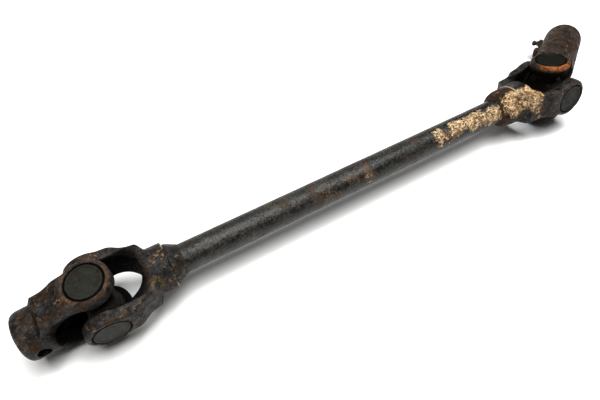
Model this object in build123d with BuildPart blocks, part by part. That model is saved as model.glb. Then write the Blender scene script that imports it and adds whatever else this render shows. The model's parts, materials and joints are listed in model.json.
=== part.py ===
from build123d import *
from math import cos, radians, sin
import os

# Universal joint shaft: a round bar with a forged cross joint welded on at each end.
# Millimetres and degrees. +X runs along the bar from the left joint to the right joint,
# +Z is up, and the origin is on the resting surface under the middle of the whole object.

# --- layout ---------------------------------------------------------------------------
span = 400.0                     # left joint centre to right joint centre
axis_height = 29.16              # bar axis above the resting surface
mid_x = -22.39                   # middle of the joint span, from the origin
mid_y = -19.01                   # bar axis, from the origin
left_roll = -6.0                 # left cap axes, turned about the bar axis
right_roll = 11.5                # right cap axes, turned about the bar axis
left_droop = 3.0                 # left end yoke, turned about the shaft yoke's cap axis
left_swing = 1.5                 # left end yoke, turned about its own cap axis
right_swing = 31.0               # right end yoke, turned about its own cap axis

# --- bar and welds --------------------------------------------------------------------
shaft_r = 10.3
shaft_socket = 36.0              # joint centre to the bar's end inside the hub
socket_gap = 0.05
left_bead = [(57.2, 10.6), (55.4, 11.3), (52.6, 12.9), (50.0, 14.1), (48.0, 14.6)]
right_bead = [(62.6, 10.7), (60.8, 11.8), (58.6, 13.9), (55.0, 15.3), (49.5, 15.9), (44.2, 15.6)]

# --- forged yokes ---------------------------------------------------------------------
ear_r = 15.7                     # ear radius around the cap axis
ear_face = 26.6                  # joint centre to the ear's outer face
ear_flat = 13.6                  # half length of the ear's flat face
ear_gap = 17.0                   # joint centre to the ear's inner face
crotch = 30.5                    # joint centre to the bottom of the U
arm_half_width = 12.4            # half width of the arms at the waist
shoulder_height = 19.6           # half height of the yoke at its shoulder
ear_blend = 62                   # where the arm leaves the ear's circle
forging_edge = 3.0
slot_edge = 0.8
ear_chamfer = 0.6
stake_count = 4
stake_from = 35
stake_r = 1.3
stake_ring = 13.3
stake_depth = 0.8

shaft_yoke_hub_r = 16.4
left_shoulder = 32.6             # joint centre to the shoulder's edge
left_shaft_hub_end = 48.0
right_shoulder = 37.6
right_shaft_hub_end = 44.2

left_hub_r = 16.7
left_hub_end = 49.8
hub_bore_r = 9.525
cross_hole_r = 4.0
cross_hole_x = 39.6

right_hub_root_r = 17.9          # the long hub tapers from its root to its end
right_hub_end_r = 16.6
right_hub_end = 103.0
lug_x = 65.0
lug_r = 5.4
lug_reach = 21.4
nipple_x = 87.0

# --- bearings -------------------------------------------------------------------------
cup_r = 11.90
cup_fit = 0.03
cup_face = 26.25
cup_mouth = 15.2
cup_floor = 23.6
cup_edge = 0.7
needle_count = 21
needle_r = 1.25
needle_pitch_r = 8.77
needle_from, needle_to = 16.0, 23.2
needle_clearance = 0.02
trunnion_r = needle_pitch_r - needle_r - needle_clearance
cup_bore_r = needle_pitch_r + needle_r + needle_clearance
trunnion_end = 23.4
cross_arm_r = 9.6
cross_arm_end = 13.2
cross_core = 19.0
seal_r = 10.9
seal_bore_r = trunnion_r + 0.06
seal_from = 13.5

# --- grease nipple --------------------------------------------------------------------
nipple_stem_r = 2.9
nipple_stem = 5.0
nipple_hex = 7.0
nipple_profile = [(0, 0.0), (3.0, 0.0), (3.0, 2.9), (1.9, 5.0), (1.8, 5.9), (2.6, 7.0), (2.5, 8.2),
                  (1.5, 9.2), (0, 9.4)]


def turned(plane, axis, angle):
    """The plane turned by an angle about an axis through its own origin."""
    spin = Axis(plane.origin, axis)
    x_dir = plane.x_dir.rotate(Axis((0, 0, 0), spin.direction), angle)
    z_dir = plane.z_dir.rotate(Axis((0, 0, 0), spin.direction), angle)
    return Plane(origin=plane.origin, x_dir=x_dir, z_dir=z_dir)


def joint_planes(centre, toward_bar, roll, droop, swing):
    """Planes of one joint: shaft yoke, end yoke and cross.

    A yoke's plane has x towards its hub and z along its cap axis. The cross has x along
    the end yoke's cap axis and z along the shaft yoke's cap axis.
    """
    shaft_caps = Vector(0, -cos(radians(roll)), sin(radians(roll)))
    shaft_plane = Plane(origin=centre, x_dir=(toward_bar, 0, 0), z_dir=shaft_caps)
    end_caps = Vector(0, sin(radians(roll)), cos(radians(roll)))
    straight = Plane(origin=centre, x_dir=(-toward_bar, 0, 0), z_dir=end_caps)
    leaned = turned(straight, shaft_caps, droop)
    end_plane = turned(leaned, leaned.z_dir, swing)
    cross_plane = Plane(origin=centre, x_dir=leaned.z_dir, z_dir=shaft_caps)
    return shaft_plane, end_plane, cross_plane


def flipped(plane):
    """The same cap axis, seen from the opposite ear."""
    return Plane(origin=plane.origin, x_dir=plane.x_dir, z_dir=plane.z_dir * -1)


def forged_yoke(shoulder, hub_profile):
    """Two round ears on tapering arms that meet in a shoulder and a round hub."""
    blend = Vector(ear_r, 0).rotate(Axis.Z, ear_blend)
    with BuildPart() as yoke:
        # outside of the fork, seen along the ears' width
        with BuildSketch(Plane.XZ):
            with BuildLine():
                Polyline((-ear_r - 2, 0), (-ear_r - 2, ear_face), (ear_flat, ear_face))
                Spline((ear_flat, ear_face), (22.5, 22.8), (shoulder, shoulder_height),
                       tangents=((1, 0), (1, -0.1)))
                Polyline((shoulder, shoulder_height), (shoulder + 4.2, 12.0), (shoulder + 4.2, 0))
                mirror(about=Plane.XZ)
            make_face()
        extrude(amount=ear_r + 2, both=True)
        # outline of the ear and arm, seen along the cap axis
        with BuildSketch(Plane.XY):
            with BuildLine():
                CenterArc((0, 0), ear_r, ear_blend, 180 - ear_blend)
                Spline((blend.X, blend.Y), (22.0, arm_half_width), (shoulder + 5, arm_half_width + 0.8),
                       tangents=((blend.Y, -blend.X), (1, 0.05)))
                Line((shoulder + 5, arm_half_width + 0.8), (shoulder + 5, 0))
                mirror(about=Plane.XZ)
            make_face()
        extrude(amount=ear_face + 5, both=True, mode=Mode.INTERSECT)
        fillet(yoke.edges().filter_by(lambda e: abs(e.center().Z) > 12.5
                                      and e.center().X < shoulder - 1), forging_edge)
        # hub, blended into the fork
        with BuildSketch(Plane.XZ):
            with BuildLine():
                Polyline(*hub_profile, close=True)
            make_face()
        revolve(axis=Axis.X)
        # the U between the ears
        with BuildSketch(Plane.XZ):
            with Locations((crotch - ear_gap, 0)):
                Circle(ear_gap)
                Rectangle(3 * ear_gap, 2 * ear_gap, align=(Align.MAX, Align.CENTER))
        extrude(amount=2 * ear_r, both=True, mode=Mode.SUBTRACT)
        fillet(yoke.edges(Select.LAST), slot_edge)
        # bored ears, with a broken edge that leaves a groove around each cup
        with BuildSketch(Plane.XY):
            Circle(cup_r + cup_fit)
        extrude(amount=2 * ear_face, both=True, mode=Mode.SUBTRACT)
        chamfer(yoke.edges().filter_by(GeomType.CIRCLE)
                .filter_by(lambda e: abs(abs(e.center().Z) - ear_face) < 0.01
                           and abs(e.radius - cup_r - cup_fit) < 0.01), ear_chamfer)
        # dents where the rims are staked over the cups
        for face in (Plane.XY.offset(ear_face), Plane.XY.rotated((180, 0, 0)).offset(ear_face)):
            with BuildSketch(face):
                with PolarLocations(stake_ring, stake_count, start_angle=stake_from):
                    SlotOverall(2.6 * stake_r, 1.5 * stake_r, rotation=90)
            extrude(amount=-stake_depth, mode=Mode.SUBTRACT)
    return yoke


def bearing_cup():
    """A drawn steel cup, closed at its outer end."""
    with BuildPart() as cup:
        with BuildSketch(Plane.XZ):
            with BuildLine():
                Polyline((0, cup_floor), (cup_bore_r, cup_floor), (cup_bore_r, cup_mouth), (cup_r, cup_mouth),
                         (cup_r, cup_face), (0, cup_face), close=True)
            make_face()
        revolve(axis=Axis.Z)
        chamfer(cup.edges().filter_by(GeomType.CIRCLE).sort_by(Axis.Z)[-1], cup_edge)
        fillet(cup.edges().filter_by(GeomType.CIRCLE).group_by(Axis.Z)[0], 0.4)
        # shallow dish in the closed end
        with BuildSketch(Plane.XY.offset(cup_face)):
            Circle(cup_r - 2.4)
        extrude(amount=-0.2, taper=45, mode=Mode.SUBTRACT)
    return cup


def needle_set():
    """The loose needle rollers of one cup."""
    with BuildPart() as needles:
        with BuildSketch(Plane.XY.offset(needle_from)):
            with PolarLocations(needle_pitch_r, needle_count):
                Circle(needle_r)
        extrude(amount=needle_to - needle_from)
    return needles


def trunnion_seal():
    """The lipped ring between a cup's mouth and the cross."""
    with BuildPart() as seal:
        with BuildSketch(Plane.XZ):
            with BuildLine():
                Polyline((seal_bore_r, seal_from + 0.5), (seal_bore_r + 0.6, seal_from), (seal_r - 0.5, seal_from),
                         (seal_r, seal_from + 0.5), (seal_r, cup_mouth), (seal_bore_r + 0.4, cup_mouth),
                         (seal_bore_r, cup_mouth - 0.5), close=True)
            make_face()
        revolve(axis=Axis.Z)
    return seal


def journal_cross():
    """Four ground trunnions on a rounded core."""
    with BuildPart() as cross:
        Box(cross_core, cross_core, cross_core)
        fillet(cross.edges(), 4.0)
        for plane in (Plane.XY, Plane.YZ):
            with BuildSketch(plane):
                Circle(cross_arm_r)
            extrude(amount=cross_arm_end, both=True)
            with BuildSketch(plane):
                Circle(trunnion_r)
            extrude(amount=trunnion_end, both=True)
        chamfer(cross.edges().filter_by(GeomType.CIRCLE)
                .filter_by(lambda e: max(abs(e.center().X), abs(e.center().Z)) > cross_arm_end - 0.01
                           and e.radius < cross_arm_r + 0.1
                           and not (abs(e.radius - trunnion_r) < 0.01 and e.center().length < trunnion_end - 1)),
                0.6)
    return cross


def weld_ring(outline, hub_end):
    """A ring of weld around the bar, against the hub's end face."""
    with BuildPart() as ring:
        with BuildSketch(Plane.XZ):
            with BuildLine():
                Polyline(outline[-1], (hub_end, shaft_r), (outline[0][0], shaft_r), outline[0])
                Spline(outline)
            make_face()
        revolve(axis=Axis.X)
    return ring


def save(builder, plane, node):
    """Puts a finished piece in its place and writes it."""
    piece = plane.location * builder.part
    piece.label = node
    export_step(piece, f"parts/{node}.step")
    box = piece.bounding_box()
    corners.extend([box.min, box.max])


os.makedirs("parts", exist_ok=True)
corners = []

left_centre = (mid_x - span / 2, mid_y, axis_height)
right_centre = (mid_x + span / 2, mid_y, axis_height)
left_shaft, left_end, left_mid = joint_planes(left_centre, 1, left_roll, left_droop, left_swing)
right_shaft, right_end, right_mid = joint_planes(right_centre, -1, right_roll, 0, right_swing)

# --- bar ------------------------------------------------------------------------------
with BuildPart() as shaft:
    with BuildSketch(Plane.YZ.offset(shaft_socket)):
        Circle(shaft_r)
    extrude(amount=span - 2 * shaft_socket)
    chamfer(shaft.edges().filter_by(GeomType.CIRCLE), 1.0)
save(shaft, left_shaft, "shaft")

# --- shaft yokes, bored for the bar ---------------------------------------------------
for side, plane, shoulder, hub_end, outline in (
        ("left", left_shaft, left_shoulder, left_shaft_hub_end, left_bead),
        ("right", right_shaft, right_shoulder, right_shaft_hub_end, right_bead)):
    r = shaft_yoke_hub_r
    with BuildPart() as yoke:
        add(forged_yoke(shoulder, [(18, 0), (18, 10.5), (31, r), (hub_end - 0.8, r), (hub_end, r - 0.8), (hub_end, 0)]))
        with BuildSketch(Plane.YZ.offset(hub_end)):
            Circle(shaft_r + socket_gap)
        extrude(amount=-(hub_end - shaft_socket + 0.3), mode=Mode.SUBTRACT)
    save(yoke, plane, f"{side}_shaft_yoke")
    save(weld_ring(outline, hub_end), plane, f"{side}_weld")

# --- left end yoke: short hub with a cross hole ---------------------------------------
with BuildPart() as yoke:
    r, end = left_hub_r, left_hub_end
    add(forged_yoke(left_shoulder, [(18, 0), (18, 10.5), (31, r), (end - 4.2, r), (end - 1.4, r - 0.9),
                                    (end, r - 3.0), (end, 0)]))
    with BuildSketch(Plane.YZ.offset(end)):
        Circle(hub_bore_r)
    extrude(amount=-end, mode=Mode.SUBTRACT)
    with BuildSketch(Plane.XZ):
        with Locations((cross_hole_x, 0)):
            Circle(cross_hole_r)
    extrude(amount=2 * left_hub_r, both=True, mode=Mode.SUBTRACT)
save(yoke, left_end, "left_end_yoke")

# --- right end yoke: long tapered hub with a lug and a grease nipple -------------------
with BuildPart() as yoke:
    r, end = right_hub_end_r, right_hub_end
    add(forged_yoke(left_shoulder, [(18, 0), (18, 10.5), (33, right_hub_root_r), (end - 4.2, r), (end - 1.4, r - 0.9),
                                    (end, r - 3.0), (end, 0)]))
    with BuildSketch(Plane.XZ):
        with Locations((lug_x, 0)):
            Circle(lug_r)
    extrude(amount=-lug_reach)
    fillet(yoke.edges().filter_by(GeomType.CIRCLE)
           .filter_by(lambda e: abs(e.center().Y - lug_reach) < 0.01), 2.5)
    with BuildSketch(Plane.YZ.offset(end)):
        Circle(hub_bore_r)
    extrude(amount=-end, mode=Mode.SUBTRACT)
    with BuildSketch(Plane.XZ):
        with Locations((nipple_x, 0)):
            Circle(nipple_stem_r)
    extrude(amount=-2 * right_hub_end_r, mode=Mode.SUBTRACT)
save(yoke, right_end, "right_end_yoke")

# --- grease nipple --------------------------------------------------------------------
nipple_seat = right_hub_end_r + 0.35
with BuildPart() as nipple:
    with BuildSketch(Plane.XY):
        RegularPolygon(nipple_hex / 2, 6, major_radius=False)
    extrude(amount=2.9)
    with BuildSketch(Plane.XZ):
        with BuildLine():
            Polyline(*nipple_profile, close=True)
        make_face()
    revolve(axis=Axis.Z)
    with BuildSketch(Plane.XY):
        Circle(nipple_stem_r - 0.05)
    extrude(amount=-nipple_stem)
nipple_origin = right_end.from_local_coords((nipple_x, nipple_seat, 0))
nipple_plane = Plane(origin=nipple_origin, x_dir=right_end.x_dir, z_dir=right_end.y_dir)
save(nipple, nipple_plane, "grease_nipple")

# --- crosses and their bearings -------------------------------------------------------
for side, shaft_plane, end_plane, mid_plane in (("left", left_shaft, left_end, left_mid),
                                                ("right", right_shaft, right_end, right_mid)):
    save(journal_cross(), mid_plane, f"{side}_cross")
    for name, plane in (("front", shaft_plane), ("back", flipped(shaft_plane)),
                        ("top", end_plane), ("bottom", flipped(end_plane))):
        save(bearing_cup(), plane, f"{side}_{name}_cup")
        save(needle_set(), plane, f"{side}_{name}_needles")
        save(trunnion_seal(), plane, f"{side}_{name}_seal")

low = [min(c.X for c in corners), min(c.Y for c in corners), min(c.Z for c in corners)]
high = [max(c.X for c in corners), max(c.Y for c in corners), max(c.Z for c in corners)]
print("size", [round(h - l, 2) for l, h in zip(low, high)])
print("middle", [round((h + l) / 2, 2) for l, h in zip(low, high)], "bottom", round(low[2], 2))
print("end yoke axes", left_end.x_dir, left_end.z_dir, right_end.x_dir, right_end.z_dir)
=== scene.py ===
"""Universal joint shaft: forged yokes, bar, welds and bearings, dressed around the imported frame."""

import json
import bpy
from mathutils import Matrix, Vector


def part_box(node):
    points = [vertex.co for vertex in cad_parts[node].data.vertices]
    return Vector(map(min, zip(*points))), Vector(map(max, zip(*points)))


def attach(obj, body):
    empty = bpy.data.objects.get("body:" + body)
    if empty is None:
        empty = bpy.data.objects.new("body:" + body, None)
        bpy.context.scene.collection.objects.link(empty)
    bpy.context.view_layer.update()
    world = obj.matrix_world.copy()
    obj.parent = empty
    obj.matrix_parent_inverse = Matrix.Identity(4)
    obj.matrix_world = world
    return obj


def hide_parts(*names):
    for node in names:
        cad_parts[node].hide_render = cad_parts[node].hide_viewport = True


bl_info = {
    "name": "Universal Joint Shaft",
    "version": (1, 0, 0),
    "blender": (4, 5, 0),
    "location": "View3D > Sidebar > Joint Shaft",
    "description": "Builds the visible pieces of a universal joint shaft on its engineering frame",
    "category": "Object",
}

from math import cos, radians, sin

import bmesh
import bpy
from bpy.props import FloatProperty, FloatVectorProperty, IntProperty, PointerProperty
from mathutils import Matrix, Vector

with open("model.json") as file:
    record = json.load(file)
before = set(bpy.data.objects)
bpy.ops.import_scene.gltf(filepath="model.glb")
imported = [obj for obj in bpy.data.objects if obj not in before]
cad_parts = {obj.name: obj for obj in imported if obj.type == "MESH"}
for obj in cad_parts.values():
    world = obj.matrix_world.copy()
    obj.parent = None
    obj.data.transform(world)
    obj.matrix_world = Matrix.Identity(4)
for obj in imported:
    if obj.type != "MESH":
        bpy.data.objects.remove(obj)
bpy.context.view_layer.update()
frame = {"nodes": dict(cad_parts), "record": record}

SHAFT_CAPS = ("front", "back")
END_CAPS = ("top", "bottom")
MM = 0.001

CRUST_SIDE = (0.0, -0.64, 0.77)  # direction, seen from the bar's axis, that the crust covers
LINE_SIDE = (0.0, 0.40, 0.92)  # direction in which the painted highlight lines are measured
PAINTED_INNER_SHADE = (0.004, 0.0035, 0.003)  # painted shade inside the joints, in the grooves round the cups and on the walls of the bores
PAINTED_HOLLOW_SHADE = (0.005, 0.004, 0.003)  # painted shade in hollows and in the gap round the cups


def colour(name, default, description):
    return FloatVectorProperty(name=name, description=description, default=default, size=3, min=0.0,
                               max=1.0, subtype="COLOR")


def length(name, default, description):
    return FloatProperty(name=name, description=description, default=default, min=0.0, unit="LENGTH",
                         subtype="DISTANCE")


class ForgingSettings(bpy.types.PropertyGroup):
    """Skin of the forged yokes."""
    cell: length("Cell", 0.52 * MM, "Size of the faces that the forged skin is made of")
    long_cell: length("Long hub cell", 0.62 * MM, "The same, for the yoke with the long hub")
    swell: length("Swell", 0.22 * MM, "Depth of the slow waves that the dies and the hammer leave")
    scale_depth: length("Scale depth", 0.12 * MM, "Depth of the pits where scale has come away")
    paint: colour("Scale", (0.013, 0.011, 0.009), "Dark forging scale and old paint")
    worn: colour("Worn", (0.086, 0.070, 0.054), "Grey metal where the scale is rubbed")
    brown: colour("Brown rust", (0.062, 0.031, 0.016), "Old brown rust")
    orange: colour("Orange rust", (0.19, 0.100, 0.046), "Fresh rust at edges and dents")
    heat: colour("Heat blue", (0.052, 0.062, 0.078), "Blue-grey patches among the worn metal")
    specks: colour("Specks", (0.30, 0.200, 0.115), "Small tan spots of dried dirt")
    black: colour("Black", (0.006, 0.005, 0.005), "Patches where the scale is whole and oily")
    # Raised edges: rubbed metal, partly a painted highlight.
    edge: colour("Edges", (0.135, 0.100, 0.068), "Metal rubbed through on raised edges")
    # Painted highlight: a bright line where a yoke meets its weld.
    painted_highlight: colour("Painted highlight line", (0.62, 0.56, 0.46), "Chipped line where a yoke meets its weld")
    ochre: colour("Ochre", (0.30, 0.195, 0.055), "Yellow stain on the left shaft yoke")
    fresh: colour("Fresh rust", (0.40, 0.150, 0.036), "Bright rust below the right top cup")


class BarSettings(bpy.types.PropertyGroup):
    """Painted bar between the joints."""
    around: IntProperty(name="Faces around", description="Faces around the bar", default=120, min=24)
    along: length("Face length", 0.75 * MM, "Length of a face along the bar")
    relief: length("Relief", 0.09 * MM, "Height of paint over bare spots")
    paint: colour("Paint", (0.010, 0.010, 0.007), "Black paint")
    sheen: colour("Rubbed paint", (0.072, 0.073, 0.058), "Paint rubbed thin and grey")
    rust: colour("Rust", (0.070, 0.044, 0.028), "Rust in the chips")
    chips: colour("Fresh chips", (0.30, 0.155, 0.062), "Orange rust in the newest chips")
    residue: colour("Residue", (0.98, 0.76, 0.49), "Tan crust near the right joint")
    residue_brown: colour("Brown residue", (0.28, 0.150, 0.060), "Browner patches of the crust")
    residue_dark: colour("Dark residue", (0.13, 0.070, 0.030), "Thin flakes of the crust")
    residue_dirt: colour("Residue dirt", (0.055, 0.036, 0.020), "Fine dirt in the crust")
    residue_crack: colour("Residue cracks", (0.045, 0.026, 0.013), "Cracks between flakes")
    residue_dust: colour("Residue dust", (0.15, 0.082, 0.034), "Brown dust around the crust")
    residue_from: length("Residue start", 40 * MM, "Where the crust begins, from the middle of the object")


class BearingSettings(bpy.types.PropertyGroup):
    """Cups, needles, seals and crosses."""
    cup: colour("Cup", (0.045, 0.046, 0.038), "Dull grey cup steel")
    scratch: colour("Scratches", (0.16, 0.16, 0.145), "Bright scratches on the cups")
    stain: colour("Stain", (0.022, 0.018, 0.011), "Oily brown stain on the cups")
    steel: colour("Steel", (0.52, 0.52, 0.50), "Ground steel of the needles")
    dull_steel: colour("Dull steel", (0.36, 0.34, 0.30), "Duller patches of the needles")
    grease: colour("Greased steel", (0.016, 0.013, 0.010), "Cross under old grease")
    thin_grease: colour("Thin grease", (0.040, 0.028, 0.018), "Cross where the grease is thin")
    rubber: colour("Rubber", (0.016, 0.016, 0.016), "Seal rubber")
    dusty_rubber: colour("Dusty rubber", (0.035, 0.032, 0.028), "Seal rubber under dust")
    plating: colour("Plating", (0.060, 0.052, 0.040), "Dull plating of the nipple")
    worn_plating: colour("Worn plating", (0.16, 0.12, 0.075), "Nipple where the plating is worn")


class WeldSettings(bpy.types.PropertyGroup):
    """Weld rings."""
    cell: length("Cell", 0.4 * MM, "Size of the faces that a ring is made of")
    ripple_depth: length("Ripple depth", 0.35 * MM, "Height of a ripple")


class StageSettings(bpy.types.PropertyGroup):
    """Camera, light and floor."""
    azimuth: FloatProperty(name="Azimuth", description="View direction in degrees, 0 along +Y",
                           default=-28.84)
    elevation: FloatProperty(name="Elevation", description="Degrees over the horizon", default=51.10)
    roll: FloatProperty(name="Roll", description="Degrees that the camera turns about its own axis",
                        default=-1.98)
    distance: length("Distance", 0.3592, "Camera to the point that it looks at")
    aim: FloatVectorProperty(name="Aim", description="Point looked at, from the middle of the bar", size=3,
                             default=(-0.0503, 0.0016, 0.0011), subtype="TRANSLATION", unit="LENGTH")
    lens: FloatProperty(name="Lens", description="Focal length in millimetres on a 36 mm sensor",
                        default=29.48)
    floor: colour("Floor", (0.93, 0.93, 0.925), "Plain pale sweep")


# --- node helpers ----------------------------------------------------------------------------------------


class Tree:
    """Short hand for building one node tree."""

    def __init__(self, tree):
        self.tree = tree

    def add(self, kind, inputs=None, **values):
        node = self.tree.nodes.new(kind)
        for key, value in values.items():
            setattr(node, key, value)
        for key, value in (inputs or {}).items():
            socket = node.inputs[key]
            if isinstance(value, bpy.types.NodeSocket):
                self.tree.links.new(value, socket)
            else:
                socket.default_value = value
        return node

    def math(self, operation, a, b=0.0, c=0.0, clamp=False):
        return self.add("ShaderNodeMath", {0: a, 1: b, 2: c}, operation=operation, use_clamp=clamp).outputs[0]

    def noise(self, vector, scale, detail=6.0, rough=0.55, distortion=0.0):
        inputs = {"Vector": vector, "Scale": scale, "Detail": detail, "Roughness": rough,
                  "Distortion": distortion}
        return self.add("ShaderNodeTexNoise", inputs).outputs["Fac"]

    def cells(self, vector, scale, feature="F1"):
        inputs = {"Vector": vector, "Scale": scale}
        return self.add("ShaderNodeTexVoronoi", inputs, feature=feature).outputs["Distance"]

    def ramp(self, value, low, high, to_low=0.0, to_high=1.0):
        inputs = {"Value": value, "From Min": low, "From Max": high, "To Min": to_low, "To Max": to_high}
        return self.add("ShaderNodeMapRange", inputs, interpolation_type="SMOOTHSTEP").outputs[0]

    def mix(self, factor, a, b, blend="MIX"):
        node = self.tree.nodes.new("ShaderNodeMix")
        node.data_type, node.blend_type = "RGBA", blend
        for socket, value in ((node.inputs[0], factor), (node.inputs[6], a), (node.inputs[7], b)):
            if isinstance(value, bpy.types.NodeSocket):
                self.tree.links.new(value, socket)
            elif socket.type == "RGBA":
                socket.default_value = (*value[:3], 1.0)
            else:
                socket.default_value = value
        return node.outputs[2]

    def cover(self, base, mask, amount, over):
        """The base with another colour laid over it where the mask says, up to an amount."""
        return self.mix(self.math("MULTIPLY", mask, amount), base, over)

    def vector(self, operation, a, b=None, output=0):
        inputs = {0: a} if b is None else {0: a, 1: b}
        return self.add("ShaderNodeVectorMath", inputs, operation=operation).outputs[output]

    def bump(self, height, strength, distance, normal=None):
        inputs = {"Height": height, "Strength": strength, "Distance": distance}
        if normal is not None:
            inputs["Normal"] = normal
        return self.add("ShaderNodeBump", inputs).outputs[0]


def effect(name, inputs, outputs):
    """A new shader node group with named sockets: the group, its helper, its inputs and its outputs."""
    group = bpy.data.node_groups.new(name, "ShaderNodeTree")
    for label, kind, default in inputs:
        socket = group.interface.new_socket(label, in_out="INPUT", socket_type=kind)
        if default is not None:
            socket.default_value = default
    for label, kind in outputs:
        group.interface.new_socket(label, in_out="OUTPUT", socket_type=kind)
    tree = Tree(group)
    return group, tree, group.nodes.new("NodeGroupInput").outputs, group.nodes.new("NodeGroupOutput").inputs


def rust_effect():
    """Rust in blotches and specks: colour, mask, roughness and height over the surface."""
    if "Rust" in bpy.data.node_groups:
        return bpy.data.node_groups["Rust"]
    group, t, given, out = effect(
        "Rust",
        [("Vector", "NodeSocketVector", None), ("Base", "NodeSocketColor", (0.04, 0.04, 0.04, 1)),
         ("Brown", "NodeSocketColor", (0.1, 0.05, 0.02, 1)),
         ("Orange", "NodeSocketColor", (0.4, 0.17, 0.05, 1)),
         ("Blotch Size", "NodeSocketFloat", 120.0), ("Amount", "NodeSocketFloat", 0.5),
         ("Specks", "NodeSocketFloat", 0.5)],
        [("Color", "NodeSocketColor"), ("Mask", "NodeSocketFloat"), ("Roughness", "NodeSocketFloat"),
         ("Height", "NodeSocketFloat")])
    link = group.links.new
    vector = given["Vector"]
    blotch = t.noise(vector, given["Blotch Size"], 9.0, 0.68, 0.35)
    fine = t.noise(vector, 950.0, 7.0, 0.7)
    blend = t.math("ADD", t.math("MULTIPLY", blotch, 0.72), t.math("MULTIPLY", fine, 0.28))
    edge = t.math("SUBTRACT", 0.74, t.math("MULTIPLY", given["Amount"], 0.36))
    mask = t.ramp(blend, edge, t.math("ADD", edge, 0.09))
    speck = t.cells(vector, 620.0)
    crowd = t.ramp(t.noise(vector, 75.0, 3.0), 0.42, 0.66, 0.02, 0.30)
    speck_edge = t.math("MULTIPLY", given["Specks"], crowd)
    specks = t.ramp(t.math("SUBTRACT", speck_edge, speck), -0.03, 0.03)
    bright = t.ramp(t.noise(vector, 210.0, 8.0, 0.7, 0.5), 0.56, 0.70)
    rust = t.mix(bright, given["Brown"], given["Orange"])
    tone = t.mix(0.55, rust, t.mix(fine, (0.30, 0.24, 0.2), (1.0, 0.95, 0.9)), "MULTIPLY")
    coloured = t.mix(mask, given["Base"], t.mix(0.45, rust, tone))
    coloured = t.cover(coloured, specks, 0.75, given["Orange"])
    either = t.math("MAXIMUM", mask, specks)
    link(coloured, out["Color"])
    link(either, out["Mask"])
    link(t.ramp(either, 0.0, 1.0, 0.0, 0.34), out["Roughness"])
    grain = t.math("MULTIPLY", t.cells(vector, 900.0), 0.5)
    link(t.math("ADD", t.math("MULTIPLY", fine, 0.6), grain), out["Height"])
    return group


def edge_and_hollow_masks():
    """Rubbed metal and painted highlight on raised edges, from the mesh's own corners and a breakup noise,
    and a mask of hollows for painted shade.
    """
    if "Edge Wear" in bpy.data.node_groups:
        return bpy.data.node_groups["Edge Wear"]
    group, t, given, out = effect(
        "Edge Wear",
        [("Vector", "NodeSocketVector", None), ("Low", "NodeSocketFloat", 0.52),
         ("High", "NodeSocketFloat", 0.60)],
        [("Mask", "NodeSocketFloat"), ("Hollow", "NodeSocketFloat")])
    point = t.add("ShaderNodeNewGeometry").outputs["Pointiness"]
    rough = t.ramp(t.noise(given["Vector"], 330.0, 6.0, 0.65), 0.3, 0.7, -0.035, 0.035)
    mask = t.add("ShaderNodeMapRange", {"Value": t.math("ADD", point, rough), "From Min": given["Low"],
                                        "From Max": given["High"]}).outputs[0]
    group.links.new(mask, out["Mask"])
    group.links.new(t.ramp(point, 0.495, 0.44), out["Hollow"])
    return group


def use(tree, group, **inputs):
    """Places a node group in a material and sets its inputs."""
    node = tree.add("ShaderNodeGroup", node_tree=group)
    for key, value in inputs.items():
        socket = node.inputs[key.replace("_", " ")]
        if isinstance(value, bpy.types.NodeSocket):
            tree.tree.links.new(value, socket)
        elif socket.type == "RGBA":
            socket.default_value = (*value[:3], 1.0)
        else:
            socket.default_value = value
    return node.outputs


def new_material(name):
    """An empty node material with its Principled shader and object coordinates."""
    material = bpy.data.materials.new(name)
    material.use_nodes = True
    material.node_tree.nodes.clear()
    tree = Tree(material.node_tree)
    shader = tree.add("ShaderNodeBsdfPrincipled")
    output = tree.add("ShaderNodeOutputMaterial")
    tree.tree.links.new(shader.outputs[0], output.inputs[0])
    place = tree.add("ShaderNodeTexCoord").outputs["Object"]
    return material, tree, shader, place


def finish_shader(tree, shader, base, roughness, normal, metallic=0.0, specular=0.5):
    tree.tree.links.new(base, shader.inputs["Base Color"])
    tree.tree.links.new(roughness, shader.inputs["Roughness"])
    tree.tree.links.new(normal, shader.inputs["Normal"])
    shader.inputs["Metallic"].default_value = metallic
    shader.inputs["Specular IOR Level"].default_value = specular


def cap_axis(side, pair):
    """Centre and direction of a cup axis: pair "shaft" for the front and back cups, "end" for the rest."""
    name = f"{side}_{'cross' if pair == 'shaft' else 'end'}_hinge"
    joint = next(j for j in frame["record"]["behaviour"]["joints"] if j["name"] == name)
    return Vector(joint["pos_m"]), Vector(joint["axis"]).normalized()


def around_axis(tree, place, centre, axis):
    """Distances of a place: from an axis, along it from the centre, and straight from the centre."""
    away = tree.vector("SUBTRACT", place, centre)
    radial = tree.vector("LENGTH", tree.vector("CROSS_PRODUCT", away, axis), output="Value")
    along = tree.math("ABSOLUTE", tree.vector("DOT_PRODUCT", away, axis, "Value"))
    return radial, along, tree.vector("LENGTH", away, output="Value")


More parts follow.
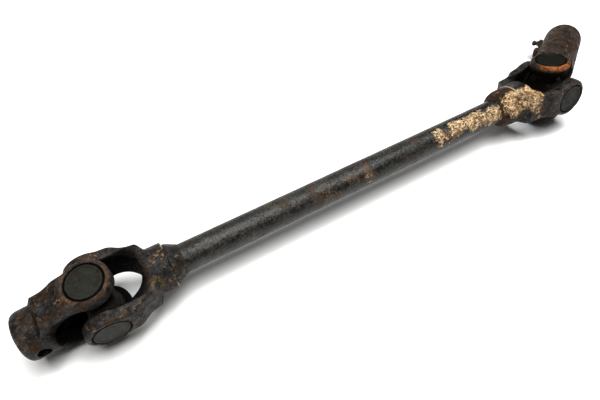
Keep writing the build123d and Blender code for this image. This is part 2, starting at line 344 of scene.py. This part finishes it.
def crust_mask(tree, place, start, end, reach, cover):
    """Crust on the bar's near upper side, between two places along it: mask, dusty halo and flakes."""
    low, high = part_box("shaft")
    flake = tree.noise(place, 520.0, 10.0, 0.76, 0.5)
    holes = tree.ramp(tree.noise(place, 700.0, 7.0, 0.75), 0.43, 0.47)
    broad = tree.noise(place, 75.0, 5.0, 0.62, 0.4)
    ragged = tree.ramp(broad, 0.3, 0.7, -2.2 * MM, 2.2 * MM)
    x = tree.add("ShaderNodeSeparateXYZ", {0: place}).outputs["X"]
    ends = tree.math("MULTIPLY", tree.ramp(x, start - 8 * MM, start + 14 * MM),
                     tree.ramp(x, end + 8 * MM, end - 6 * MM))
    away = tree.vector("SUBTRACT", place, (low + high) / 2)
    facing = tree.math("ADD", tree.vector("DOT_PRODUCT", away, CRUST_SIDE, "Value"), ragged)
    body = tree.math("MULTIPLY", ends, tree.ramp(facing, reach - 1.2 * MM, reach + 1.8 * MM))
    value = tree.math("ADD", tree.math("MULTIPLY", flake, 0.62), tree.math("MULTIPLY", broad, 0.48))
    edge = tree.math("SUBTRACT", 0.98, tree.math("MULTIPLY", body, 0.50 * cover))
    over = tree.math("SUBTRACT", value, edge)
    mask = tree.math("MULTIPLY", tree.ramp(over, -0.022, 0.030), holes)
    return mask, tree.ramp(over, -0.11, 0.0), flake


def crusted(tree, place, base, bar, start, end, reach, cover=1.0):
    """Adds the tan crust over a base colour. Returns the colour and the crust's mask."""
    mask, halo, flake = crust_mask(tree, place, start, end, reach, cover)
    fine = tree.noise(place, 1300.0, 7.0, 0.78)
    patches = tree.ramp(tree.noise(place, 105.0, 9.0, 0.74, 0.5), 0.39, 0.53)
    tone = tree.mix(patches, bar.residue_brown, bar.residue)
    tone = tree.mix(tree.ramp(flake, 0.53, 0.42, 0.0, 0.8), tone, bar.residue_dark)
    dirty = tree.mix(tree.ramp(fine, 0.485, 0.42, 0.0, 0.92), tone, bar.residue_dirt)
    split = tree.ramp(tree.cells(place, 430.0, "DISTANCE_TO_EDGE"), 0.055, 0.01, 0.0, 0.8)
    crack = tree.math("MULTIPLY", split, tree.ramp(tree.noise(place, 260.0, 4.0), 0.44, 0.54))
    dusty = tree.cover(base, halo, 0.65, bar.residue_dust)
    return tree.mix(mask, dusty, tree.mix(crack, dirty, bar.residue_crack)), mask


def bar_material(settings):
    """Black paint, rubbed grey along its length, with rust chips and a tan crust at one end."""
    material, t, shader, place = new_material("bar paint")
    rubbed = t.ramp(t.noise(place, 85.0, 10.0, 0.76, 0.3), 0.46, 0.60)
    scuffs = t.ramp(t.noise(place, 520.0, 8.0, 0.76), 0.47, 0.60)
    thin = t.math("ADD", t.math("MULTIPLY", rubbed, 0.45), t.math("MULTIPLY", scuffs, 0.35))
    rust = use(t, rust_effect(), Vector=place, Base=t.mix(thin, settings.paint, settings.sheen),
               Brown=settings.rust, Orange=settings.chips, Blotch_Size=70.0, Amount=0.62, Specks=0.9)
    base, crust = crusted(t, place, rust["Color"], settings, settings.residue_from, 150 * MM, 6.6 * MM)
    base, spots = crusted(t, place, base, settings, -66 * MM, -12 * MM, 6.2 * MM, 0.72)
    rough = t.math("ADD", t.math("ADD", t.ramp(scuffs, 0, 1, 0.22, 0.38), rust["Roughness"]),
                   t.math("MULTIPLY", crust, 0.3), clamp=True)
    chips = t.math("MULTIPLY", rust["Height"], t.ramp(rust["Mask"], 0, 1, 0.25, 1.0))
    height = t.math("ADD", chips, t.math("MULTIPLY", t.math("MAXIMUM", crust, spots), 0.9))
    waves = t.bump(t.noise(place, 260.0, 8.0, 0.72), 0.7, 1.2 * MM)
    finish_shader(t, shader, base, rough, t.bump(height, 0.6, 0.40 * MM, waves), specular=0.75)
    return material


def cup_rims(t, place, radial, along):
    """Mask of the rims around a yoke's cups, where staking broke the scale."""
    rough = t.ramp(t.noise(place, 190.0, 7.0, 0.72), 0.35, 0.65, -1.6 * MM, 1.6 * MM)
    band = t.ramp(t.math("ADD", radial, rough), 15.6 * MM, 13.4 * MM)
    face = t.ramp(t.math("ADD", along, rough), 22.8 * MM, 24.5 * MM)
    patch = t.ramp(t.noise(place, 88.0, 5.0, 0.62), 0.42, 0.60)
    return t.math("MULTIPLY", t.math("MULTIPLY", band, face), patch)


def rim_on_one_side(t, place, centre, along, direction):
    """Mask of fresh rust on the edge of one ear, only where it faces a direction."""
    front = t.vector("DOT_PRODUCT", t.vector("SUBTRACT", place, centre), direction, "Value")
    uneven = t.ramp(t.noise(place, 260.0, 8.0, 0.75), 0.35, 0.65, -2.8 * MM, 2.8 * MM)
    facing = t.ramp(t.math("ADD", front, uneven), 12 * MM, 18.5 * MM)
    edge = t.ramp(t.math("ADD", along, t.math("MULTIPLY", uneven, 0.4)), 22.6 * MM, 24.0 * MM)
    patch = t.ramp(t.noise(place, 280.0, 8.0, 0.78), 0.42, 0.53, 0.20, 1.0)
    return t.math("MULTIPLY", t.math("MULTIPLY", facing, edge), patch)


def bore_shadow(t, place, base, mount_name):
    """Darkens the wall of a hole that the record lists as a mount."""
    mount = next(m for m in frame["record"]["mounts"] if m["name"] == mount_name)
    near, _, _ = around_axis(t, place, mount["pos_m"], mount["axis"])
    bore = mount["dims"]["r_mm"] * MM
    return t.mix(t.ramp(near, bore + 0.7 * MM, bore + 0.1 * MM, 0.0, 0.92), base, PAINTED_INNER_SHADE)


def painted_highlight_line(t, place, x, threshold, level):
    """Mask of a painted highlight line around the bar at x, above a level towards the back and the top."""
    low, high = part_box("shaft")
    off = t.vector("SUBTRACT", place, (x, *((low + high) / 2)[1:]))
    across = t.math("ABSOLUTE", t.add("ShaderNodeSeparateXYZ", {0: off}).outputs["X"])
    side = t.vector("DOT_PRODUCT", off, LINE_SIDE, "Value")
    line = t.math("MULTIPLY", t.ramp(across, 1.1 * MM, 0.4 * MM),
                  t.ramp(side, level - 1 * MM, level + 2 * MM))
    return t.math("MULTIPLY", line, t.ramp(t.noise(place, 60.0, 4.0, 0.6), threshold, threshold + 0.06))


def forged_colour(t, place, settings, amount, tint):
    """Scale and worn metal with rust, tan specks and black patches: the colour, the rust and the specks."""
    broad = t.ramp(t.noise(place, 80.0, 9.0, 0.72, 0.4), 0.44, 0.58)
    fine = t.ramp(t.noise(place, 480.0, 8.0, 0.76), 0.46, 0.58)
    worn = t.mix(t.ramp(t.noise(place, 150.0, 5.0, 0.6), 0.45, 0.56), settings.worn, settings.heat)
    rubbed = t.math("ADD", t.math("MULTIPLY", broad, 0.45), t.math("MULTIPLY", fine, 0.55))
    scale = t.mix(1.0, t.mix(rubbed, settings.paint, worn), tint, "MULTIPLY")
    rust = use(t, rust_effect(), Vector=place, Base=scale, Brown=settings.brown, Orange=settings.orange,
               Blotch_Size=120.0, Amount=amount, Specks=0.8)
    specks = t.math("MULTIPLY", t.ramp(t.noise(place, 250.0, 7.0, 0.70, 0.5), 0.565, 0.61, 0.0, 0.8),
                    t.ramp(t.noise(place, 48.0, 3.0), 0.44, 0.56, 0.25, 1.0))
    black = t.ramp(t.noise(place, 170.0, 8.0, 0.7, 0.5), 0.47, 0.40, 0.0, 0.90)
    return t.mix(black, t.mix(specks, rust["Color"], settings.specks), settings.black), rust, specks


def forging_material(name, settings, bar, cap=None, crust_at=None, amount=0.55, rim=0.4, tint=(1, 1, 1),
                     rim_side=None, black_side=17.5 * MM, holes=(), highlight_line=None, stain=None):
    """Forging scale with rust, rims around the cups on the axis cap, and painted shade inside the joint up to
    black_side.

    crust_at places the tan crust, rim_side keeps the rim rust to one side, the line argument paints a
    highlight line where the yoke meets its weld, and stain an ochre spot.
    """
    material, t, shader, place = new_material(name)
    base, rust, specks = forged_colour(t, place, settings, amount, tint)
    edges_and_hollows = use(t, edge_and_hollow_masks(), Vector=place, Low=0.514, High=0.565)
    # Raised edges: rubbed metal, partly a painted highlight.
    base = t.cover(base, edges_and_hollows["Mask"], 0.6, settings.edge)
    shade = edges_and_hollows["Hollow"]
    if cap:
        radial, along, away = around_axis(t, place, *cap)
        if rim_side:
            base = t.cover(base, rim_on_one_side(t, place, cap[0], along, rim_side), rim, settings.fresh)
        else:
            base = t.cover(base, cup_rims(t, place, radial, along), rim, settings.orange)
        # Painted shade: the inside of the joint, and the groove round the cup, are darkened to near black.
        inside = t.math("MULTIPLY", t.ramp(along, black_side + 2 * MM, black_side),
                        t.ramp(away, 40 * MM, 32 * MM))
        groove = t.math("MULTIPLY", t.ramp(radial, 13.1 * MM, 12.4 * MM), t.ramp(along, 20 * MM, 22 * MM))
        base = t.cover(t.cover(base, inside, 0.88, PAINTED_INNER_SHADE), groove, 0.9, PAINTED_INNER_SHADE)
        shade = t.math("MAXIMUM", shade, inside)
    # Painted shade in the hollows of the forging.
    base = t.cover(base, edges_and_hollows["Hollow"], 0.8, PAINTED_HOLLOW_SHADE)
    for hole in holes:
        base = bore_shadow(t, place, base, hole)
    if stain:
        off = t.vector("DISTANCE", place, stain, "Value")
        flecks = t.math("MULTIPLY", t.ramp(off, 7 * MM, 2 * MM),
                        t.ramp(t.noise(place, 260.0, 7.0, 0.7), 0.45, 0.58))
        base = t.cover(base, flecks, 0.65, settings.ochre)
    rough = t.math("ADD", t.ramp(t.noise(place, 300.0, 7.0, 0.7), 0.35, 0.65, 0.30, 0.54),
                   rust["Roughness"], clamp=True)
    if crust_at:
        base, crust = crusted(t, place, base, bar, *crust_at)
        rough = t.math("ADD", rough, t.math("MULTIPLY", crust, 0.25), clamp=True)
    # Painted highlight: a bright line where the yoke meets its weld.
    if highlight_line:
        base = t.cover(base, painted_highlight_line(t, place, *highlight_line), 0.9, settings.painted_highlight)
    height = t.math("ADD", t.math("ADD", rust["Height"], t.math("MULTIPLY", specks, 0.5)),
                    t.math("MULTIPLY", t.noise(place, 420.0, 6.0, 0.7), 1.1))
    dents = t.bump(t.noise(place, 140.0, 5.0, 0.6), 0.6, 1.6 * MM)
    finish_shader(t, shader, base, rough, t.bump(height, 0.8, 0.55 * MM, dents))
    t.tree.links.new(t.ramp(shade, 0.0, 1.0, 0.42, 0.05), shader.inputs["Specular IOR Level"])
    return material


def cup_material(name, settings, forging, cap, tone):
    """Dull turned steel with faint rings, fine scratches, brown stain and painted shade in the gap at the
    rim.
    """
    material, t, shader, place = new_material(name)
    radial, _, _ = around_axis(t, place, *cap)
    stain = t.ramp(t.noise(place, 210.0, 9.0, 0.74, 0.5), 0.42, 0.66)
    base = t.cover(tuple(c * tone for c in settings.cup), stain, 0.75, settings.stain)
    drawn = t.add("ShaderNodeMapping", {"Vector": place, "Rotation": (0.2, 0.3, 0.7),
                                        "Scale": (2600.0, 160.0, 2600.0)}).outputs[0]
    scratch = t.noise(drawn, 1.0, 3.0, 0.6)
    base = t.mix(t.ramp(scratch, 0.58, 0.75, 0.0, 0.28), base, settings.scratch)
    rust = use(t, rust_effect(), Vector=place, Base=base, Brown=forging.brown, Orange=forging.orange,
               Blotch_Size=260.0, Amount=0.22, Specks=0.45)
    uneven = t.ramp(t.noise(place, 400.0, 4.0), 0.3, 0.7, -0.3 * MM, 0.3 * MM)
    # Painted shade in the gap between the cup and the ear's bore.
    rim = t.ramp(t.math("ADD", radial, uneven), 10.6 * MM, 11.3 * MM)
    base = t.cover(rust["Color"], rim, 0.92, PAINTED_HOLLOW_SHADE)
    rough = t.math("ADD", t.ramp(t.noise(place, 330.0, 5.0), 0.3, 0.7, 0.36, 0.54), rust["Roughness"],
                   clamp=True)
    turned = t.math("SINE", t.math("MULTIPLY", radial, 9000.0))
    height = t.math("ADD", t.math("ADD", scratch, t.noise(place, 900.0, 4.0, 0.6)),
                    t.math("MULTIPLY", turned, 0.12))
    waves = t.bump(t.noise(place, 170.0, 5.0), 0.25, 0.7 * MM)
    finish_shader(t, shader, base, rough, t.bump(height, 0.28, 0.14 * MM, waves), metallic=0.25,
                  specular=0.3)
    return material


def plain_metal(name, base, worn, rough_low, rough_high, metallic, size=500.0):
    """Metal with a mottled tone and roughness, for small pieces."""
    material, t, shader, place = new_material(name)
    mottle = t.ramp(t.noise(place, size, 6.0, 0.65), 0.35, 0.7)
    rough = t.ramp(t.noise(place, size * 1.7, 5.0), 0.3, 0.7, rough_low, rough_high)
    normal = t.bump(t.noise(place, size * 2.2, 5.0, 0.65), 0.25, 0.15 * MM)
    finish_shader(t, shader, t.mix(mottle, base, worn), rough, normal, metallic=metallic)
    return material


# --- shape helpers ---------------------------------------------------------------------------------------


def merged_copy(node, name):
    """A new object with a welded copy of a CAD node's triangles."""
    mesh = bpy.data.meshes.new(name)
    work = bmesh.new()
    work.from_mesh(frame["nodes"][node].data)
    bmesh.ops.remove_doubles(work, verts=work.verts, dist=0.000002)
    bmesh.ops.recalc_face_normals(work, faces=work.faces)
    work.to_mesh(mesh)
    work.free()
    piece = bpy.data.objects.new(name, mesh)
    bpy.context.scene.collection.objects.link(piece)
    return piece


def even_faces(piece, cell, passes):
    """Adds the modifiers that remake a surface from even faces and relax them a number of times."""
    remesh = piece.modifiers.new("Even faces", "REMESH")
    remesh.mode, remesh.voxel_size = "VOXEL", cell
    relax = piece.modifiers.new("Relax", "SMOOTH")
    relax.factor, relax.iterations = 0.5, passes


def baked(piece):
    """The same object with its modifiers turned into a plain, smooth mesh."""
    graph = bpy.context.evaluated_depsgraph_get()
    mesh = bpy.data.meshes.new_from_object(piece.evaluated_get(graph))
    piece.modifiers.clear()
    old, piece.data = piece.data, mesh
    mesh.name = piece.name
    if old.users == 0:
        bpy.data.meshes.remove(old)
    mesh.shade_smooth()
    return piece


def skin_tree():
    """Geometry nodes that beat a smooth surface into a hammered, pitted skin. Nothing is pushed outwards."""
    name = "Forged Skin"
    if name in bpy.data.node_groups:
        return bpy.data.node_groups[name]
    group = bpy.data.node_groups.new(name, "GeometryNodeTree")
    face = group.interface
    face.new_socket("Geometry", in_out="INPUT", socket_type="NodeSocketGeometry")
    for label, default in (("Swell", 0.0002), ("Swell Scale", 130.0), ("Pit", 0.0001), ("Pit Scale", 420.0),
                           ("Offset", 0.0)):
        face.new_socket(label, in_out="INPUT", socket_type="NodeSocketFloat").default_value = default
    face.new_socket("Seed", in_out="INPUT", socket_type="NodeSocketFloat").default_value = 1.0
    face.new_socket("Material", in_out="INPUT", socket_type="NodeSocketMaterial")
    face.new_socket("Geometry", in_out="OUTPUT", socket_type="NodeSocketGeometry")
    t = Tree(group)
    given, out = group.nodes.new("NodeGroupInput").outputs, group.nodes.new("NodeGroupOutput").inputs
    place = t.add("GeometryNodeInputPosition").outputs[0]
    normal = t.add("GeometryNodeInputNormal").outputs[0]
    wave = t.add("ShaderNodeTexNoise", {"Vector": place, "W": given["Seed"], "Scale": given["Swell Scale"],
                                        "Detail": 3.0}, noise_dimensions="4D").outputs["Fac"]
    pit = t.add("ShaderNodeTexNoise", {"Vector": place, "W": given["Seed"], "Scale": given["Pit Scale"],
                                       "Detail": 5.0, "Roughness": 0.65},
                noise_dimensions="4D").outputs["Fac"]
    sunk = t.ramp(pit, 0.50, 0.68)
    depth = t.math("ADD", t.math("MULTIPLY", wave, given["Swell"]), t.math("MULTIPLY", sunk, given["Pit"]))
    push = t.math("SUBTRACT", given["Offset"], depth)
    offset = t.add("ShaderNodeVectorMath", {0: normal, "Scale": push}, operation="SCALE").outputs[0]
    moved = t.add("GeometryNodeSetPosition", {"Geometry": given["Geometry"], "Offset": offset}).outputs[0]
    smooth = t.add("GeometryNodeSetShadeSmooth", {"Geometry": moved}).outputs[0]
    real = t.add("GeometryNodeRealizeInstances", {"Geometry": smooth}).outputs[0]
    done = t.add("GeometryNodeSetMaterial", {"Geometry": real, "Material": given["Material"]}).outputs[0]
    group.links.new(done, out["Geometry"])
    return group


def nodes_modifier(piece, group, **values):
    """Adds a geometry nodes modifier and sets its inputs by their identifiers."""
    modifier = piece.modifiers.new(group.name, "NODES")
    modifier.node_group = group
    ids = {s.name: s.identifier for s in group.interface.items_tree if s.in_out == "INPUT"}
    for label, value in values.items():
        modifier[ids[label.replace("_", " ")]] = value
    return modifier


def body_of(node):
    """The rigid body that a CAD node belongs to."""
    return next(body for body, nodes in frame["record"]["behaviour"]["bodies"].items() if node in nodes)


def stand_in(piece, node):
    """Rides the piece on its node's body and lets it stand for the node."""
    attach(piece, body_of(node))
    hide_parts(node)
    return piece


# --- operators -------------------------------------------------------------------------------------------


class JOINTSHAFT_OT_yokes(bpy.types.Operator):
    """Builds the four forged yokes with a hammered, pitted skin"""
    bl_idname = "jointshaft.yokes"
    bl_label = "Forged Yokes"

    def execute(self, context):
        settings, bar = context.scene.forging, context.scene.bar
        stain_at = cap_axis("left", "shaft")[0] + Vector((35.5, -16.5, 8.5)) * MM
        looks = {
            "left_shaft_yoke": forging_material(
                "left forging", settings, bar, cap_axis("left", "shaft"), amount=0.60, rim=0.5,
                highlight_line=(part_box("left_shaft_yoke")[1].x, 0.49, -100 * MM), stain=stain_at),
            "left_end_yoke": forging_material(
                "left end forging", settings, bar, cap_axis("left", "end"), amount=0.66, rim=0.5,
                tint=(1.1, 1.05, 1.0), holes=("left_hub_bore", "left_cross_hole")),
            "right_shaft_yoke": forging_material(
                "right forging", settings, bar, cap_axis("right", "shaft"), amount=0.5, rim=0.2,
                crust_at=(110 * MM, 151 * MM, 10.8 * MM),
                highlight_line=(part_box("right_shaft_yoke")[0].x, 0.30, 10 * MM)),
            "right_end_yoke": forging_material(
                "right end forging", settings, bar, cap_axis("right", "end"), amount=0.78, rim=0.95,
                tint=(1.35, 1.1, 0.9), rim_side=(-0.50, -0.87, 0.45), black_side=20.8 * MM,
                holes=("right_hub_bore",)),
        }
        for seed, (node, look) in enumerate(looks.items()):
            piece = merged_copy(node, f"{node}_forging")
            cell = settings.long_cell if node == "right_end_yoke" else settings.cell
            even_faces(piece, cell, 12)
            nodes_modifier(piece, skin_tree(), Swell=settings.swell, Swell_Scale=120.0,
                           Pit=settings.scale_depth, Pit_Scale=430.0, Offset=settings.swell * 0.3,
                           Seed=float(seed + 3), Material=look)
            stand_in(baked(piece), node)
        return {"FINISHED"}


class JOINTSHAFT_OT_bar(bpy.types.Operator):
    """Builds the painted bar as a dense tube with chips and crust in relief"""
    bl_idname = "jointshaft.bar"
    bl_label = "Bar"

    def execute(self, context):
        settings = context.scene.bar
        low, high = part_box("shaft")
        centre, radius = (low + high) / 2, (high.z - low.z) / 2
        chamfer = 1.0 * MM
        first, last = low.x + chamfer, high.x - chamfer
        count = int((last - first) / settings.along)
        rings = [(low.x, radius - chamfer), (first, radius)]
        rings += [(first + (last - first) * i / count, radius) for i in range(1, count + 1)]
        rings.append((high.x, radius - chamfer))
        angles = [radians(360 * k / settings.around) for k in range(settings.around)]
        work = bmesh.new()
        loops = [[work.verts.new((x, centre.y + r * cos(a), centre.z + r * sin(a))) for a in angles]
                 for x, r in rings]
        for one, two in zip(loops, loops[1:]):
            for k in range(settings.around):
                n = (k + 1) % settings.around
                work.faces.new((one[k], one[n], two[n], two[k]))
        work.faces.new(loops[0])
        work.faces.new(loops[-1])
        bmesh.ops.recalc_face_normals(work, faces=work.faces)
        mesh = bpy.data.meshes.new("bar")
        work.to_mesh(mesh)
        work.free()
        piece = bpy.data.objects.new("bar", mesh)
        context.scene.collection.objects.link(piece)
        nodes_modifier(piece, skin_tree(), Swell=settings.relief, Swell_Scale=60.0, Pit=settings.relief,
                       Pit_Scale=300.0, Offset=0.0, Seed=11.0, Material=bar_material(settings))
        stand_in(baked(piece), "shaft")
        return {"FINISHED"}


class JOINTSHAFT_OT_welds(bpy.types.Operator):
    """Builds the two rings of weld"""
    bl_idname = "jointshaft.welds"
    bl_label = "Welds"

    def execute(self, context):
        settings, forging, bar = context.scene.weld, context.scene.forging, context.scene.bar
        low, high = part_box("right_weld")
        crust_at = (low.x - 30 * MM, high.x + 30 * MM, 9.8 * MM, 0.90)
        looks = {
            "left": forging_material("left weld metal", forging, bar, amount=0.40, tint=(1.0, 1.0, 0.95)),
            "right": forging_material("right weld metal", forging, bar, amount=0.85, tint=(1.5, 1.15, 0.85),
                                      crust_at=crust_at),
        }
        for seed, (side, look) in enumerate(looks.items()):
            piece = merged_copy(f"{side}_weld", f"{side}_weld_ring")
            even_faces(piece, settings.cell, 3)
            nodes_modifier(piece, skin_tree(), Swell=settings.ripple_depth * 1.6, Swell_Scale=190.0,
                           Pit=settings.ripple_depth * 0.5, Pit_Scale=520.0,
                           Offset=settings.ripple_depth * 0.6, Seed=float(seed + 21), Material=look)
            stand_in(baked(piece), f"{side}_weld")
        return {"FINISHED"}


class JOINTSHAFT_OT_bearings(bpy.types.Operator):
    """Gives the cups, needles, seals and crosses their finishes"""
    bl_idname = "jointshaft.bearings"
    bl_label = "Bearings"

    def execute(self, context):
        settings = context.scene.bearing
        forging = context.scene.forging
        looks = {
            "needles": plain_metal("needle steel", settings.steel, settings.dull_steel, 0.18, 0.32, 1.0),
            "seal": plain_metal("seal rubber", settings.rubber, settings.dusty_rubber, 0.55, 0.75, 0.0),
            "cross": plain_metal("greased steel", settings.grease, settings.thin_grease, 0.6, 0.85, 0.0,
                                 260.0),
        }
        for side, tone in (("left", 1.0), ("right", 0.5)):
            for pair, ends in (("shaft", SHAFT_CAPS), ("end", END_CAPS)):
                steel = cup_material(f"{side} {pair} cup steel", settings, forging, cap_axis(side, pair),
                                     tone)
                looks.update({f"{side}_{end}_cup": steel for end in ends})
        for node, piece in frame["nodes"].items():
            look = looks.get(node) or looks.get(node.rsplit("_", 1)[-1])
            if look:
                piece.data.materials.clear()
                piece.data.materials.append(look)
        return {"FINISHED"}


class JOINTSHAFT_OT_nipple(bpy.types.Operator):
    """Gives the grease nipple its dull plated finish"""
    bl_idname = "jointshaft.nipple"
    bl_label = "Grease Nipple"

    def execute(self, context):
        settings = context.scene.bearing
        piece = frame["nodes"]["grease_nipple"]
        piece.data.materials.clear()
        piece.data.materials.append(plain_metal("nipple plating", settings.plating, settings.worn_plating,
                                                0.35, 0.6, 0.6, 700.0))
        return {"FINISHED"}


class JOINTSHAFT_OT_stage(bpy.types.Operator):
    """Sets the floor, the soft light and the camera"""
    bl_idname = "jointshaft.stage"
    bl_label = "Stage"

    def execute(self, context):
        scene, settings = context.scene, context.scene.stage
        low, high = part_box("shaft")
        aim = (low + high) / 2 + Vector(settings.aim)
        azimuth, elevation = radians(settings.azimuth), radians(settings.elevation)
        back = Vector((sin(azimuth) * cos(elevation), -cos(azimuth) * cos(elevation), sin(elevation)))
        camera = bpy.data.objects.new("camera", bpy.data.cameras.new("camera"))
        scene.collection.objects.link(camera)
        camera.rotation_mode = "QUATERNION"
        camera.location = aim + back * settings.distance
        turn = (-back).to_track_quat("-Z", "Y")
        roll = Matrix.Rotation(radians(settings.roll), 3, "Z").to_quaternion()
        camera.rotation_quaternion = turn @ roll
        camera.data.sensor_width, camera.data.lens = 36.0, settings.lens
        camera.data.clip_start, camera.data.clip_end = 0.01, 20.0
        scene.camera = camera

        mesh = bpy.data.meshes.new("floor")
        reach, drop = 6.0, -0.2 * MM
        corners = [(x * reach, y * reach, drop) for x, y in ((-1, -1), (1, -1), (1, 1), (-1, 1))]
        mesh.from_pydata(corners, [], [(0, 1, 2, 3)])
        floor = bpy.data.objects.new("floor", mesh)
        scene.collection.objects.link(floor)
        material, t, shader, place = new_material("sweep")
        tone = t.mix(t.noise(place, 3.0, 3.0), settings.floor, tuple(c * 0.985 for c in settings.floor))
        t.tree.links.new(tone, shader.inputs["Base Color"])
        shader.inputs["Roughness"].default_value = 0.6
        mesh.materials.append(material)

        world = bpy.data.worlds.new("studio")
        world.use_nodes = True
        world.node_tree.nodes["Background"].inputs[0].default_value = (1.0, 1.0, 1.0, 1.0)
        world.node_tree.nodes["Background"].inputs[1].default_value = 0.14
        scene.world = world
        for name, place, size, power in (("overhead", (0.05, -0.25, 2.00), 1.4, 56.0),
                                         ("front", (0.52, 0.00, 1.80), 0.42, 8.5),
                                         ("rim", (0.35, 1.1, 0.8), 0.8, 4.0)):
            light = bpy.data.objects.new(name, bpy.data.lights.new(name, "AREA"))
            light.data.shape, light.data.size, light.data.energy = "SQUARE", size, power
            light.location = aim + Vector(place)
            light.rotation_mode = "QUATERNION"
            light.rotation_quaternion = (aim - light.location).to_track_quat("-Z", "Y")
            scene.collection.objects.link(light)
        scene.view_settings.view_transform = "Standard"
        scene.view_settings.look = "None"
        scene.view_settings.gamma = 0.72
        return {"FINISHED"}


class JOINTSHAFT_PT_panel(bpy.types.Panel):
    """Lists the pieces that can be built"""
    bl_idname = "JOINTSHAFT_PT_panel"
    bl_label = "Joint Shaft"
    bl_space_type = "VIEW_3D"
    bl_region_type = "UI"
    bl_category = "Joint Shaft"

    def draw(self, context):
        for operator in OPERATORS:
            self.layout.operator(operator.bl_idname)
        for name in SETTINGS:
            box = self.layout.box()
            box.label(text=name.capitalize())
            group = getattr(context.scene, name)
            for key in group.__annotations__:
                box.prop(group, key)


SETTINGS = {"forging": ForgingSettings, "bar": BarSettings, "bearing": BearingSettings, "weld": WeldSettings,
            "stage": StageSettings}
OPERATORS = (JOINTSHAFT_OT_yokes, JOINTSHAFT_OT_bar, JOINTSHAFT_OT_welds, JOINTSHAFT_OT_bearings,
             JOINTSHAFT_OT_nipple, JOINTSHAFT_OT_stage)


def register():
    for name, group in SETTINGS.items():
        bpy.utils.register_class(group)
        setattr(bpy.types.Scene, name, PointerProperty(type=group))
    for operator in OPERATORS:
        bpy.utils.register_class(operator)
    bpy.utils.register_class(JOINTSHAFT_PT_panel)


def unregister():
    bpy.utils.unregister_class(JOINTSHAFT_PT_panel)
    for operator in reversed(OPERATORS):
        bpy.utils.unregister_class(operator)
    for name, group in SETTINGS.items():
        delattr(bpy.types.Scene, name)
        bpy.utils.unregister_class(group)


def main():
    """Builds every piece in order."""
    register()
    bpy.ops.jointshaft.stage()
    bpy.ops.jointshaft.yokes()
    bpy.ops.jointshaft.bar()
    bpy.ops.jointshaft.welds()
    bpy.ops.jointshaft.bearings()
    bpy.ops.jointshaft.nipple()


if __name__ == "__main__":
    main()
